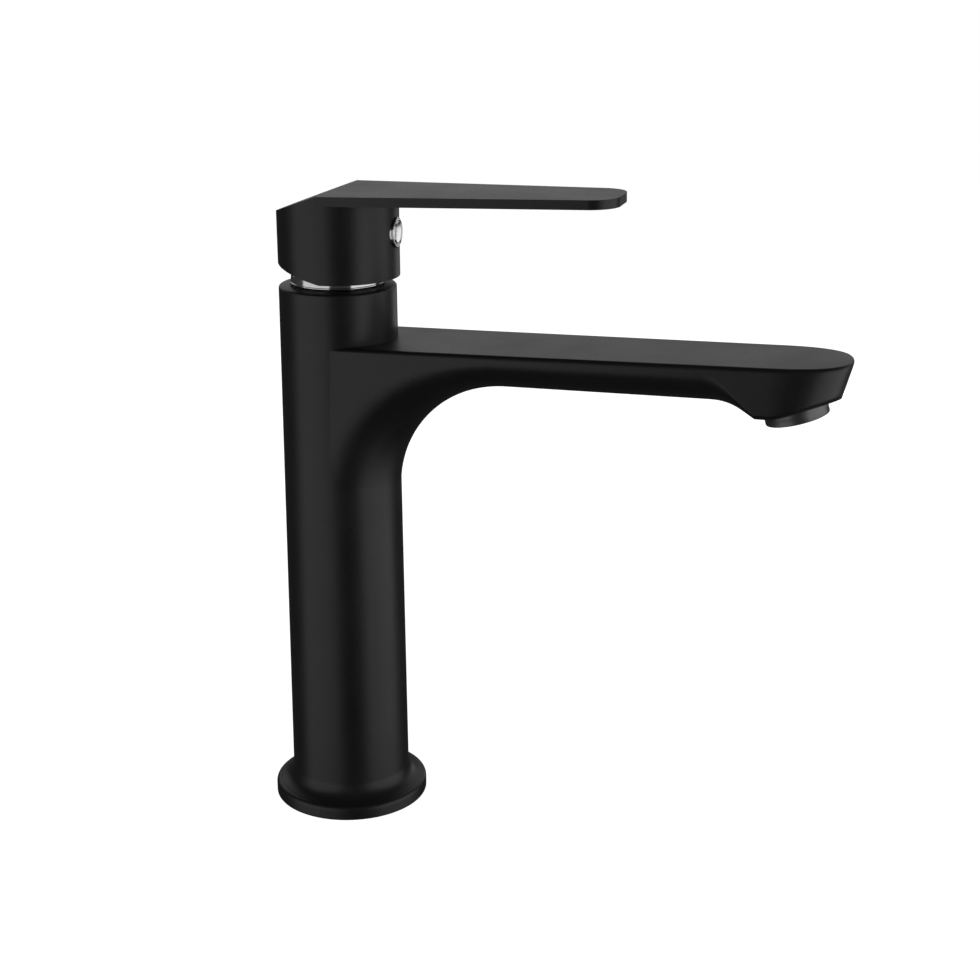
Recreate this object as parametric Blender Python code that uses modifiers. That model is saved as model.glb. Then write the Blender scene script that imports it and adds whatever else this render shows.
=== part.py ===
"""Single-lever bathroom basin mixer with a tall round body, a flat-topped spout and a blade lever.

The model is in metres with +Z up. The origin is the centre of the foot's underside, and the spout
and the lever point along +X. The dimensions below are in millimetres, and every helper turns them
into metres. Radii are named R, heights above the deck are named Z.
"""
import math

import bmesh
import bpy
from mathutils import Matrix

MM = 0.001
GAP = 0.3
ROUND = 40
FINE = 16

# Body casting: column, foot, spout
RIM_Z = 217.0
RIM_R = 23.0
COLUMN_BASE_R = 24.3
RIM_EDGE = 1.0
FOOT_R = 31.7
FOOT_H = 6.0
FOOT_EDGE = 1.2
COVE_R = 7.0
SPOUT_TIP_X = 199.8
SPOUT_TOP_Z = 196.3
SPOUT_RISE = 0.0122
FILLET_R = 46.9
FILLET_X = RIM_R + 0.35 + FILLET_R
FILLET_Z = 134.3
UNDERSIDE_RISE = 0.003
ROOT_HALF_W = 23.3
SPOUT_HALF_W = 22.0
TIP_HALF_W = 20.8
ROOT_BELLY = 23.3
SPOUT_BELLY = 13.8
HEAD_BELLY = 4.5
ROOT_TURN = (math.radians(20), math.radians(85))
BELLY_X = (146.4, 166.0)
NOSE_START_X = 168.0
NOSE_POWER = 2.6
NOSE_UNDERCUT = 0.28
RAMP_X = 148.8
RAMP_DROP = 0.0094
RAMP_POWER = 2.21
HEAD_LOW_Z = 176.5
HEAD_TILT = math.radians(15.5)

# Waterways in the body
LOWER_BORE_R = 18.5
LOWER_BORE_Z = 176.0
CHAMBER_R = 17.6
CHAMBER_Z = 193.3
THREAD_R = 18.1
THREAD_Z = 212.5
CHANNEL_Z = (185.6, 192.0)
CHANNEL_HALF_W = 13.5
INLET_XY = ((-6.0, 8.5), (-6.0, -8.5))
OUTLET_X = 8.5

# Inlet block, risers, gasket
BLOCK_FLANGE_R = 21.0
BLOCK_FLANGE_H = 3.7
BLOCK_R = 18.2
BLOCK_Z = 22.0
PORT_R = 4.8
PORT_DEPTH = 12.0
STUD_X = 11.0
STUD_R = 3.9
STUD_DEPTH = 14.0
RISER_R = 5.0
RISER_BORE_R = 4.0
RISER_Z = (14.4, 186.2)
GASKET_R = (25.0, 29.0)
GASKET_H = 2.0

# Cartridge, from the chamber floor up
SEAL_H = 1.3
BASE_Z = (194.9, 198.2)
CARTRIDGE_R = 17.2
FIXED_DISC_Z = (198.5, 201.0)
MOVING_DISC_Z = (201.3, 203.6)
MOVING_DISC_R = 11.5
MOVING_DISC_X = -1.5
DRIVER_Z = (203.9, 208.2)
DRIVER_R = 10.0
SHELL_BORE_R = 15.4
SHELL_SHOULDER_Z = 213.0
NECK_R = 13.2
NECK_BORE_R = 11.4
NECK_Z = 222.2
TURRET_FLANGE_Z = (208.5, 210.7)
TURRET_R = 11.1
PIN_Z = 214.5
PIN_R = 1.5
PIN_HALF_L = 10.6
TAIL_ARM = 7.2
TAIL_R = 1.8
STEM_HALF = 3.8
STEM_TOP_Z = 243.0
NUT_Z = (213.3, 219.6)
COLLAR_R = 18.5
COLLAR_Z = (217.3, 224.6)

# Lever handle
CAP_X = 0.8
CAP_R = 23.65
CAP_Z = 220.6
CAP_BORE_R = 21.0
CAP_CEILING_Z = 242.0
HUB_R = 10.0
HUB_Z = 230.0
BLADE_TOP_Z = 254.0
BLADE_THICK = 3.6
BLADE_RISE = 0.015
BLADE_TIP_X = 112.5
BLADE_ROOT_HALF_W = 23.75
BLADE_TIP_HALF_W = 16.4
BLADE_CORNER_R = 11.0
REAR_SLOPE = 0.37
RELIEF_SLOPE = 0.25
PLUG_Z = 238.0
PLUG_R = 6.0
PLUG_FACE_X = 25.3
RECESS_X = 22.6

# Aerator
AERATOR_X = 179.3
AERATOR_Z = 178.2
AERATOR_R = 12.5
AERATOR_DROP = 2.8
AERATOR_RECESS = 10.5


def clear_scene():
    for obj in list(bpy.data.objects):
        bpy.data.objects.remove(obj, do_unlink=True)


def collection(name):
    made = bpy.data.collections.new(name)
    bpy.context.scene.collection.children.link(made)
    return made


clear_scene()
PARTS = collection("basin_mixer")
CUTTERS = collection("cutters")


def material(name, color, roughness, metallic):
    made = bpy.data.materials.new(name)
    made.use_nodes = True
    shader = made.node_tree.nodes["Principled BSDF"]
    shader.inputs["Base Color"].default_value = (*color, 1.0)
    shader.inputs["Roughness"].default_value = roughness
    shader.inputs["Metallic"].default_value = metallic
    return made


def black_metal():
    return material("black_coat", (0.03, 0.03, 0.032), 0.45, 0.2)


def chrome():
    return material("chrome", (0.8, 0.8, 0.82), 0.12, 1.0)


def brass():
    return material("brass", (0.72, 0.55, 0.25), 0.35, 1.0)


def steel():
    return material("steel", (0.55, 0.55, 0.56), 0.35, 1.0)


def rubber():
    return material("rubber", (0.02, 0.02, 0.02), 0.8, 0.0)


def ceramic():
    return material("ceramic", (0.85, 0.85, 0.83), 0.25, 0.0)


def plastic(color):
    return material("plastic", color, 0.5, 0.0)


def add(name, mesh, finish=None):
    """Links a mesh as a part, or as a cutter when it has no finish."""
    obj = bpy.data.objects.new(name, mesh)
    if finish is None:
        CUTTERS.objects.link(obj)
        obj.hide_render = True
        obj.display_type = "WIRE"
    else:
        PARTS.objects.link(obj)
        mesh.materials.append(finish)
    return obj


def boolean(target, operation, tools):
    for tool in tools:
        step = target.modifiers.new(tool.name, "BOOLEAN")
        step.operation = operation
        step.solver = "EXACT"
        step.object = tool
    return target


def cut(target, *tools):
    return boolean(target, "DIFFERENCE", tools)


def join(target, *tools):
    return boolean(target, "UNION", tools)


def turned(name, profile, finish=None, place=(0, 0, 0), segments=ROUND):
    """Solid of revolution. The (radius, height) profile runs down its outer side; a profile that
    stays off the axis is closed into a ring."""
    mesh = bpy.data.meshes.new(name)
    last = len(profile) - 1
    edges = [(i, i + 1) for i in range(last)]
    if min(radius for radius, height in profile) > 0:
        edges.append((last, 0))
    mesh.from_pydata([(r * MM, 0, z * MM) for r, z in profile], edges, [])
    obj = add(name, mesh, finish)
    obj.location = [value * MM for value in place]
    turn = obj.modifiers.new("Turn", "SCREW")
    turn.steps = turn.render_steps = segments
    turn.use_merge_vertices = True
    turn.merge_threshold = 1e-6
    return obj


def rod(name, radius, low, high, finish=None, place=(0, 0, 0), segments=FINE):
    return turned(name, [(0, high), (radius, high), (radius, low), (0, low)], finish, place, segments)


def ring(name, outer, inner, low, high, finish=None, place=(0, 0, 0), segments=FINE):
    profile = [(inner, high), (outer, high), (outer, low), (inner, low)]
    return turned(name, profile, finish, place, segments)


def along_y(obj, x, z):
    """Lays a turned piece along Y, centred on the given line."""
    obj.rotation_euler = (math.pi / 2, 0, 0)
    obj.location = (x * MM, 0, z * MM)
    return obj


def along_x(obj, z):
    """Lays a turned piece along X, its own height becoming x."""
    obj.rotation_euler = (0, math.pi / 2, 0)
    obj.location = (0, 0, z * MM)
    return obj


def prism(name, outline, low, high, finish=None, on_side=False):
    """Flat outline extruded from low to high: an XY outline along Z, or an XZ outline along Y."""
    curve = bpy.data.curves.new(name, "CURVE")
    curve.dimensions = "2D"
    curve.fill_mode = "BOTH"
    curve.extrude = (high - low) / 2 * MM
    spline = curve.splines.new("POLY")
    spline.points.add(len(outline) - 1)
    for point, (u, v) in zip(spline.points, outline):
        point.co = (u * MM, v * MM, 0, 1)
    spline.use_cyclic_u = True
    guide = bpy.data.objects.new(name, curve)
    bpy.context.scene.collection.objects.link(guide)
    graph = bpy.context.evaluated_depsgraph_get()
    mesh = bpy.data.meshes.new_from_object(guide.evaluated_get(graph))
    bpy.data.objects.remove(guide, do_unlink=True)
    bpy.data.curves.remove(curve)
    shape = bmesh.new()
    shape.from_mesh(mesh)
    bmesh.ops.remove_doubles(shape, verts=shape.verts, dist=1e-6)
    bmesh.ops.recalc_face_normals(shape, faces=shape.faces)
    shape.to_mesh(mesh)
    shape.free()
    middle = (low + high) / 2 * MM
    if on_side:
        mesh.transform(Matrix.Translation((0, middle, 0)) @ Matrix.Rotation(math.pi / 2, 4, "X"))
    else:
        mesh.transform(Matrix.Translation((0, 0, middle)))
    return add(name, mesh, finish)


def block(name, low, high, finish=None):
    """Box between two corners."""
    outline = [(low[0], low[1]), (high[0], low[1]), (high[0], high[1]), (low[0], high[1])]
    return prism(name, outline, low[2], high[2], finish)


def loft(name, sections, finish=None):
    """Closed body through rings of equally many points, flat at both ends."""
    shape = bmesh.new()
    rings = [[shape.verts.new([v * MM for v in point]) for point in section] for section in sections]
    for near, far in zip(rings, rings[1:]):
        for i, corner in enumerate(near):
            shape.faces.new((near[i - 1], corner, far[i], far[i - 1]))
    shape.faces.new(rings[0])
    shape.faces.new(rings[-1])
    bmesh.ops.recalc_face_normals(shape, faces=shape.faces)
    mesh = bpy.data.meshes.new(name)
    shape.to_mesh(mesh)
    shape.free()
    return add(name, mesh, finish)


def arc(centre, radius, start, end, steps):
    """Points of an arc in a plane, angles in degrees."""
    angles = [math.radians(start + (end - start) * i / steps) for i in range(steps + 1)]
    return [(centre[0] + radius * math.cos(a), centre[1] + radius * math.sin(a)) for a in angles]


def mix(a, b, share):
    return a + (b - a) * share


def smooth(share):
    share = min(max(share, 0.0), 1.0)
    return share * share * (3 - 2 * share)


# ---------------------------------------------------------------- body casting

def column():
    """Column, cove and foot, turned about the valve axis."""
    rim = arc((RIM_R - RIM_EDGE, RIM_Z - RIM_EDGE), RIM_EDGE, 90, 0, 3)
    cove = arc((COLUMN_BASE_R + COVE_R, FOOT_H + COVE_R), COVE_R, 180, 270, 6)
    cove = [point for point in cove if point[0] < FOOT_R - FOOT_EDGE]
    foot = arc((FOOT_R - FOOT_EDGE, FOOT_H - FOOT_EDGE), FOOT_EDGE, 90, 0, 3)
    groove = GASKET_H + GAP
    bottom = [(FOOT_R, 0.6), (FOOT_R - 0.6, 0), (GASKET_R[1] + GAP, 0), (GASKET_R[1] + GAP, groove)]
    bottom += [(GASKET_R[0] - GAP, groove), (GASKET_R[0] - GAP, 0), (0, 0)]
    return turned("body", [(0, RIM_Z)] + rim + cove + foot + bottom, black_metal())


def spout_top(x):
    return SPOUT_TOP_Z + SPOUT_RISE * x


def belly_points(half_width, belly, steps=12):
    """(y, rise) pairs across the rounded underside, from one side to the other."""
    angles = [math.pi * (i / steps - 0.5) for i in range(steps + 1)]
    return [(half_width * math.sin(a), belly * (1 - math.cos(a))) for a in angles]


def root_section(angle):
    """Section through the fillet's centre line, turned up from level by the angle."""
    half_width = mix(ROOT_HALF_W, SPOUT_HALF_W, smooth(angle / (math.pi / 2)))
    turned_by = (angle - ROOT_TURN[0]) / (ROOT_TURN[1] - ROOT_TURN[0])
    belly = mix(ROOT_BELLY, SPOUT_BELLY, smooth(turned_by))
    to_axis = (FILLET_X + 2) / max(math.cos(angle), 1e-6)
    climb = math.sin(angle) + SPOUT_RISE * math.cos(angle)
    to_top = (spout_top(FILLET_X) - FILLET_Z) / climb
    outer = min(to_axis, to_top)

    def at(y, distance):
        return (FILLET_X - distance * math.cos(angle), y, FILLET_Z + distance * math.sin(angle))

    under = [at(y, FILLET_R + rise) for y, rise in belly_points(half_width, belly)]
    return under + [at(half_width, outer), at(-half_width, outer)]


def underside(x):
    """Height of the spout's underside on the centre line: level, down a ramp, then tilted at the outlet."""
    straight = FILLET_Z + FILLET_R + UNDERSIDE_RISE * (x - FILLET_X)
    ramp = straight - RAMP_DROP * max(0.0, x - RAMP_X) ** RAMP_POWER
    return max(ramp, HEAD_LOW_Z, AERATOR_Z + math.tan(HEAD_TILT) * (x - AERATOR_X))


def straight_section(x):
    """Upright section of the spout, sheared towards the tip so that the nose leans in below."""
    half_width = mix(SPOUT_HALF_W, TIP_HALF_W, min(1, (x - FILLET_X) / (NOSE_START_X - FILLET_X)))
    if x > NOSE_START_X:
        along = (x - NOSE_START_X) / (SPOUT_TIP_X + 0.05 - NOSE_START_X)
        half_width = TIP_HALF_W * (1 - along**NOSE_POWER) ** (1 / NOSE_POWER)
    lean = NOSE_UNDERCUT * smooth((x - BELLY_X[1]) / (SPOUT_TIP_X - BELLY_X[1]))
    belly = mix(SPOUT_BELLY, HEAD_BELLY, smooth((x - BELLY_X[0]) / (BELLY_X[1] - BELLY_X[0])))
    top = spout_top(x)

    def at(y, z):
        return (x + lean * (z - top), y, z)

    under = [at(y, underside(x) + rise) for y, rise in belly_points(half_width, belly)]
    return under + [at(half_width, top), at(-half_width, top)]


def spout():
    root = [root_section(math.radians(angle)) for angle in range(0, 90, 6)]
    stations = [FILLET_X, 110, 146.4, 149, 151.5, 154, 156.5, 159, 161.5, 164, 165.9, 168, 173.2, 177]
    stations += [181, 185, 189, 192.5, 195.2, 197.3, 198.8, 199.5, SPOUT_TIP_X]
    return loft("spout_shape", root + [straight_section(x) for x in stations])


def head_place(depth):
    """Point on the aerator's axis, at a depth into the head from its tilted underside."""
    return (AERATOR_X - depth * math.sin(HEAD_TILT), 0, AERATOR_Z + depth * math.cos(HEAD_TILT))


def in_head(obj, depth=0.0):
    """Puts a turned piece on the aerator's tilted axis."""
    obj.location = [value * MM for value in head_place(depth)]
    obj.rotation_euler = (0, -HEAD_TILT, 0)
    return obj


def web_hollow():
    """Casting hollow between the column's bore and the curve under the spout."""
    curve = arc((FILLET_X, FILLET_Z), FILLET_R + 9.5, 180 - 26, 180 - 52, 5)
    outline = [(10, curve[0][1])] + curve + [(curve[-1][0], 180.5), (10, 180.5)]
    return prism("web_hollow", outline, -15.5, 15.5, on_side=True)


def body():
    casting = join(column(), spout())
    counterbore = BLOCK_FLANGE_R + GAP
    bore = [(0, LOWER_BORE_Z), (LOWER_BORE_R, LOWER_BORE_Z), (LOWER_BORE_R, BLOCK_FLANGE_H + GAP)]
    bore += [(counterbore, BLOCK_FLANGE_H + GAP), (counterbore, -1), (0, -1)]
    chamber = [(0, RIM_Z + 1), (THREAD_R + 0.6, RIM_Z + 1), (THREAD_R + 0.6, RIM_Z)]
    chamber += [(THREAD_R, RIM_Z - 0.6), (THREAD_R, THREAD_Z), (CHAMBER_R, THREAD_Z - 0.5)]
    chamber += [(CHAMBER_R, CHAMBER_Z), (0, CHAMBER_Z)]
    channel = [(4, -CHANNEL_HALF_W), (174, -CHANNEL_HALF_W), (184, -6), (184, 6)]
    channel += [(174, CHANNEL_HALF_W), (4, CHANNEL_HALF_W)]
    cut(
        casting,
        turned("lower_bore", bore),
        turned("valve_chamber", chamber),
        prism("spout_channel", channel, *CHANNEL_Z),
        web_hollow(),
        rod("outlet_duct", 3.6, CHANNEL_Z[0] + 2, CHAMBER_Z + 1, place=(OUTLET_X, 0, 0)),
        in_head(rod("aerator_recess", AERATOR_R + GAP, -3, AERATOR_RECESS, segments=ROUND)),
        in_head(rod("aerator_feed", 7.0, AERATOR_RECESS - 1, AERATOR_RECESS + 3)),
    )
    for side, (x, y) in zip(("hot", "cold"), INLET_XY):
        socket = [(0, CHAMBER_Z + 1), (RISER_BORE_R, CHAMBER_Z + 1), (RISER_BORE_R, RISER_Z[1] + GAP)]
        socket += [(RISER_R + GAP, RISER_Z[1] + GAP), (RISER_R + GAP, LOWER_BORE_Z + 2.5)]
        socket += [(RISER_R + 2, LOWER_BORE_Z + 2.5), (RISER_R + 2, LOWER_BORE_Z - 1)]
        socket += [(0, LOWER_BORE_Z - 1)]
        cut(casting, turned(side + "_body_socket", socket, place=(x, y, 0), segments=FINE))


# ---------------------------------------------------------------- inlet side

def inlet_block():
    profile = [(0, BLOCK_Z), (BLOCK_R - 0.6, BLOCK_Z), (BLOCK_R, BLOCK_Z - 0.6)]
    profile += [(BLOCK_R, BLOCK_FLANGE_H), (BLOCK_FLANGE_R, BLOCK_FLANGE_H), (BLOCK_FLANGE_R, 0), (0, 0)]
    piece = turned("inlet_block", profile, brass())
    for side, (x, y) in zip(("hot", "cold"), INLET_XY):
        way = [(0, BLOCK_Z + 1), (RISER_R + 2, BLOCK_Z + 1), (RISER_R + 2, BLOCK_Z - 2.2)]
        way += [(RISER_R + GAP, BLOCK_Z - 2.2), (RISER_R + GAP, RISER_Z[0] - GAP)]
        way += [(RISER_BORE_R, RISER_Z[0] - GAP), (RISER_BORE_R, PORT_DEPTH), (PORT_R, PORT_DEPTH)]
        way += [(PORT_R, -1), (0, -1)]
        cut(piece, turned(side + "_block_way", way, place=(x, y, 0), segments=FINE))
    cut(piece, rod("stud_socket", STUD_R, -1, STUD_DEPTH, place=(STUD_X, 0, 0)))


def base_gasket():
    ring("base_gasket", GASKET_R[1], GASKET_R[0], 0, GASKET_H, rubber(), segments=ROUND)


def risers():
    for side, (x, y) in zip(("hot", "cold"), INLET_XY):
        place = (x, y, 0)
        ring(side + "_riser", RISER_R, RISER_BORE_R, *RISER_Z, brass(), place)
        for end, low in (("lower", BLOCK_Z - 1.9), ("upper", LOWER_BORE_Z + GAP)):
            name = f"{side}_riser_{end}_seal"
            ring(name, RISER_R + 1.7, RISER_R + GAP, low, low + 1.6, rubber(), place)


# ---------------------------------------------------------------- cartridge

def port_holes(target, low, high, radius):
    holes = [(side, x, y) for side, (x, y) in zip(("hot", "cold"), INLET_XY)]
    for side, x, y in holes + [("outlet", OUTLET_X, 0)]:
        cut(target, rod(f"{target.name}_{side}_hole", radius, low, high, place=(x, y, 0)))


def cartridge_body():
    low, high = BASE_Z
    base = rod("cartridge_base", CARTRIDGE_R, low, high, plastic((0.75, 0.75, 0.73)), segments=ROUND)
    port_holes(base, low - 1, high + 1, 3.2)
    shell = [(NECK_BORE_R, NECK_Z), (NECK_R, NECK_Z), (NECK_R, SHELL_SHOULDER_Z)]
    shell += [(CARTRIDGE_R, SHELL_SHOULDER_Z), (CARTRIDGE_R, FIXED_DISC_Z[0])]
    shell += [(SHELL_BORE_R, FIXED_DISC_Z[0])]
    shell += [(SHELL_BORE_R, 211.0), (NECK_BORE_R, 211.0)]
    turned("cartridge_shell", shell, plastic((0.8, 0.8, 0.78)))


def port_seals():
    low = CHAMBER_Z + 0.15
    for side, (x, y) in zip(("hot", "cold"), INLET_XY):
        ring(side + "_port_seal", 5.0, 3.6, low, low + SEAL_H, rubber(), (x, y, 0))
    ring("outlet_port_seal", 5.4, 4.0, low, low + SEAL_H, rubber(), (OUTLET_X, 0, 0))


def ceramic_discs():
    low, high = FIXED_DISC_Z
    fixed = rod("fixed_disc", SHELL_BORE_R - GAP, low, high, ceramic(), segments=ROUND)
    port_holes(fixed, low - 1, high + 1, 3.0)
    low, high = MOVING_DISC_Z
    place = (MOVING_DISC_X, 0, 0)
    moving = rod("moving_disc", MOVING_DISC_R, low, high, ceramic(), place, ROUND)
    cut(moving, rod("mixing_recess", 6.5, low - 1, low + 1.3, place=(2.2, 0, 0)))


def disc_driver():
    low, high = DRIVER_Z
    driver = rod("disc_driver", DRIVER_R, low, high, plastic((0.2, 0.2, 0.22)), segments=ROUND)
    tail_z = PIN_Z - TAIL_ARM
    cut(driver, rod("tail_pocket", TAIL_R + 0.4, tail_z - TAIL_R - 0.4, high + 1))


def turret():
    profile = [(0, NECK_Z - GAP), (TURRET_R, NECK_Z - GAP), (TURRET_R, TURRET_FLANGE_Z[1])]
    profile += [(SHELL_BORE_R - GAP, TURRET_FLANGE_Z[1]), (SHELL_BORE_R - GAP, TURRET_FLANGE_Z[0])]
    profile += [(0, TURRET_FLANGE_Z[0])]
    piece = turned("turret", profile, plastic((0.7, 0.7, 0.7)))
    slot = block("turret_slot", (-8.4, -STEM_HALF - GAP, 200), (6.6, STEM_HALF + GAP, 230))
    bore = along_y(rod("turret_pin_bore", PIN_R + 0.25, -20, 20), 0, PIN_Z)
    cut(piece, slot, bore)
    along_y(rod("stem_pin", PIN_R, -PIN_HALF_L, PIN_HALF_L, steel()), 0, PIN_Z)


def stem():
    """Square lever stem with a round tail that moves the disc driver; its origin is on the pin."""
    tail_z = PIN_Z - TAIL_ARM
    ball = arc((0, tail_z), TAIL_R, 45, -90, 6)
    ball[-1] = (0, tail_z - TAIL_R)
    tail = turned("stem_tail", [(0, 212), (1.5, 212), (1.5, tail_z + 1.3)] + ball[1:], segments=FINE)
    bar = block("stem", (-STEM_HALF, -STEM_HALF, 210.5), (STEM_HALF, STEM_HALF, STEM_TOP_Z), steel())
    bore = along_y(rod("stem_pin_bore", PIN_R + 0.25, -20, 20), 0, PIN_Z)
    join(bar, tail)
    cut(bar, bore)
    return bar


def retaining_nut():
    low, high = NUT_Z
    nut = ring("retaining_nut", THREAD_R - GAP, NECK_R + GAP, low, 217.0, brass(), segments=ROUND)
    hexagon = arc((0, 0), 17.0, 0, 300, 5)
    head = prism("nut_hexagon", hexagon, 216.0, high)
    cut(head, rod("nut_head_bore", NECK_R + GAP, 200, 230, segments=ROUND))
    join(nut, head)


def trim_collar():
    low, high = COLLAR_Z
    dome = [(12.6 + 5.9 * math.sin(a), 219.6 + 5.0 * math.cos(a)) for a in (0, 0.4, 0.8, 1.2, math.pi / 2)]
    inside = [(COLLAR_R - 1, low), (COLLAR_R - 1, 220.0), (15.2, 222.6), (12.6, high - 1.1)]
    turned("trim_collar", dome + [(COLLAR_R, low)] + inside, chrome())


# ---------------------------------------------------------------- lever handle

def blade_outline():
    """Plan of the lever: round at the cap, tapering to a tip with rounded corners."""
    rear = arc((CAP_X, 0), BLADE_ROOT_HALF_W, 90, 270, 24)
    corner_x = BLADE_TIP_X - BLADE_CORNER_R
    near = arc((corner_x, -BLADE_TIP_HALF_W + BLADE_CORNER_R), BLADE_CORNER_R, -86, 0, 5)
    far = arc((corner_x, BLADE_TIP_HALF_W - BLADE_CORNER_R), BLADE_CORNER_R, 0, 86, 5)
    return rear + near + far


def lever_handle():
    place = (CAP_X, 0, 0)
    cap = rod("lever_handle", CAP_R, CAP_Z, BLADE_TOP_Z - 2, black_metal(), place, ROUND)
    blade = prism("blade", blade_outline(), -BLADE_THICK, 0)
    blade.location = (0, 0, BLADE_TOP_Z * MM)
    blade.rotation_euler = (0, -math.atan(BLADE_RISE), 0)
    far_x = -40
    top = [(0.4, BLADE_TOP_Z), (0.4, BLADE_TOP_Z + 6), (far_x, BLADE_TOP_Z + 6)]
    top += [(far_x, BLADE_TOP_Z + REAR_SLOPE * (far_x - 0.4))]
    relief = [(1.0, CAP_Z), (far_x, CAP_Z - RELIEF_SLOPE * (far_x - 1))]
    relief += [(far_x, CAP_Z - 5), (1.0, CAP_Z - 5)]
    join(cap, blade)
    cut(
        cap,
        prism("rear_facet", top, -40, 40, on_side=True),
        prism("rear_relief", relief, -40, 40, on_side=True),
        rod("cap_mouth", CAP_BORE_R, CAP_Z - 2, HUB_Z, segments=ROUND),
        ring("cap_cavity", CAP_BORE_R, HUB_R, HUB_Z - 1, CAP_CEILING_Z, segments=ROUND),
        block("stem_socket", (-4.1, -4.1, HUB_Z - 1), (4.1, 4.1, STEM_TOP_Z + GAP)),
        along_x(rod("grub_bore", 3.1, 3, RECESS_X + 0.1), PLUG_Z),
        along_x(rod("plug_recess", PLUG_R + GAP, RECESS_X, 30), PLUG_Z),
    )


def handle_fasteners():
    screw = along_x(rod("handle_grub_screw", 2.8, STEM_HALF + GAP, 10.5, steel()), PLUG_Z)
    hexagon = arc((0, 0), 1.6, 0, 300, 5)
    cut(screw, along_x(prism("grub_hexagon", hexagon, 8, 12), PLUG_Z))
    cap = [(0, PLUG_FACE_X), (PLUG_R - 1.2, PLUG_FACE_X - 0.1), (PLUG_R - 0.3, PLUG_FACE_X - 0.5)]
    cap += [(PLUG_R, PLUG_FACE_X - 1.1), (PLUG_R, RECESS_X + GAP), (2.8, RECESS_X + GAP)]
    cap += [(2.8, 19.0), (0, 19.0)]
    along_x(turned("index_plug", cap, chrome(), segments=32), PLUG_Z)


# ---------------------------------------------------------------- aerator

def aerator():
    lip_r = AERATOR_R - 0.4
    shell = [(10.3, 6.6), (AERATOR_R, 6.6), (AERATOR_R, 0.4), (lip_r, 0), (lip_r, 0.6 - AERATOR_DROP)]
    shell += [(lip_r - 0.6, -AERATOR_DROP), (10.9, -AERATOR_DROP), (9.6, 0.4 - AERATOR_DROP)]
    shell += [(9.6, 0.4 - AERATOR_DROP + 0.9)]
    shell += [(10.3, 0.4 - AERATOR_DROP + 0.9)]
    in_head(turned("aerator_housing", shell, black_metal()))
    in_head(ring("aerator_washer", AERATOR_R - 0.2, 8.5, 6.9, 8.7, rubber(), segments=ROUND))
    in_head(rod("aerator_screen", 10.0, -1.2, -0.5, steel(), segments=ROUND))
    insert = in_head(rod("aerator_insert", 10.0, -0.2, 3.4, plastic((0.8, 0.8, 0.8)), segments=ROUND))
    frame = Matrix.Translation([v * MM for v in head_place(0)]) @ Matrix.Rotation(-HEAD_TILT, 4, "Y")
    for i in range(8):
        way = rod(f"insert_way_{i}", 1.6, -1, 5, segments=12)
        offset = Matrix.Rotation(math.pi / 4 * i, 4, "Z") @ Matrix.Translation((6.4 * MM, 0, 0))
        way.matrix_world = frame @ offset
        cut(insert, way)
    in_head(ring("flow_regulator", 9.9, 3.0, 3.8, 6.2, plastic((0.3, 0.5, 0.8))))


# ---------------------------------------------------------------- moving groups

def pivot(name, height, *riders):
    """Empty on a joint's axis that carries the named pieces."""
    empty = bpy.data.objects.new(name, None)
    empty.empty_display_size = 0.02
    PARTS.objects.link(empty)
    empty.location = (0, 0, height * MM)
    for rider in riders:
        piece = bpy.data.objects[rider]
        piece.parent = empty
        piece.matrix_parent_inverse = Matrix.Translation((0, 0, -height * MM))
    return empty


body()
inlet_block()
base_gasket()
risers()
cartridge_body()
port_seals()
ceramic_discs()
disc_driver()
turret()
stem()
retaining_nut()
trim_collar()
lever_handle()
handle_fasteners()
aerator()
pivot("lift_axis", PIN_Z, "lever_handle", "stem", "handle_grub_screw", "index_plug")
pivot("disc_slide_axis", DRIVER_Z[0], "disc_driver", "moving_disc")
pivot("swivel_axis", PIN_Z, "turret", "stem_pin", "lift_axis", "disc_slide_axis")
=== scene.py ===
import math

import bmesh
import bpy
from mathutils import Matrix, Vector


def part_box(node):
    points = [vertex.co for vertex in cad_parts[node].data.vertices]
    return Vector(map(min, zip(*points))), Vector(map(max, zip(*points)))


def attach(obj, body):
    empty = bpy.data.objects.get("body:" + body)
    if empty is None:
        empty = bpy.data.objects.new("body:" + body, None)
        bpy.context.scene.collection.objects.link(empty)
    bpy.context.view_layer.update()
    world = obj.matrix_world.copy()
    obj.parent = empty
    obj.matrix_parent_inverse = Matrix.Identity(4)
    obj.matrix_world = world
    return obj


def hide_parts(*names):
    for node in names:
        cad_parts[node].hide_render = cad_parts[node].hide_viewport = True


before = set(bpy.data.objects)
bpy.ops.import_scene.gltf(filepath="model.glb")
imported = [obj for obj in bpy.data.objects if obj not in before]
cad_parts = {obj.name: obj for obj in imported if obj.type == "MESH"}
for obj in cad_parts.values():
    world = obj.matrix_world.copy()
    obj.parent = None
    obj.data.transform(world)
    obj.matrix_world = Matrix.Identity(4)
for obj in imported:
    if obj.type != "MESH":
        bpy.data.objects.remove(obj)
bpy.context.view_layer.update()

# Lengths are in millimetres and the helpers turn them into metres.
MM = 0.001
GAP = 0.3
ROUND = 160
FINE = 96

# Column and foot
BODY_LOW, BODY_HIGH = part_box("body")
RIM_Z = BODY_HIGH.z / MM
FOOT_R = -BODY_LOW.x / MM
SPOUT_TIP_X = BODY_HIGH.x / MM
RIM_R = 23.0
RIM_EDGE = 1.0
COLUMN_BASE_R = 24.3
FOOT_H = 6.0
FOOT_EDGE = 1.9
COVE_R = 7.0
RIM_BORE_R = 18.1
MOUTH_BEVEL = 0.6
FOOT_BORE_R = 21.3
FOOT_BORE_Z = 4.0
LOWER_BORE_R = 18.5
LOWER_BORE_Z = 176.0
GROOVE_R = (24.7, 29.3)
GROOVE_H = 2.3

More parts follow.
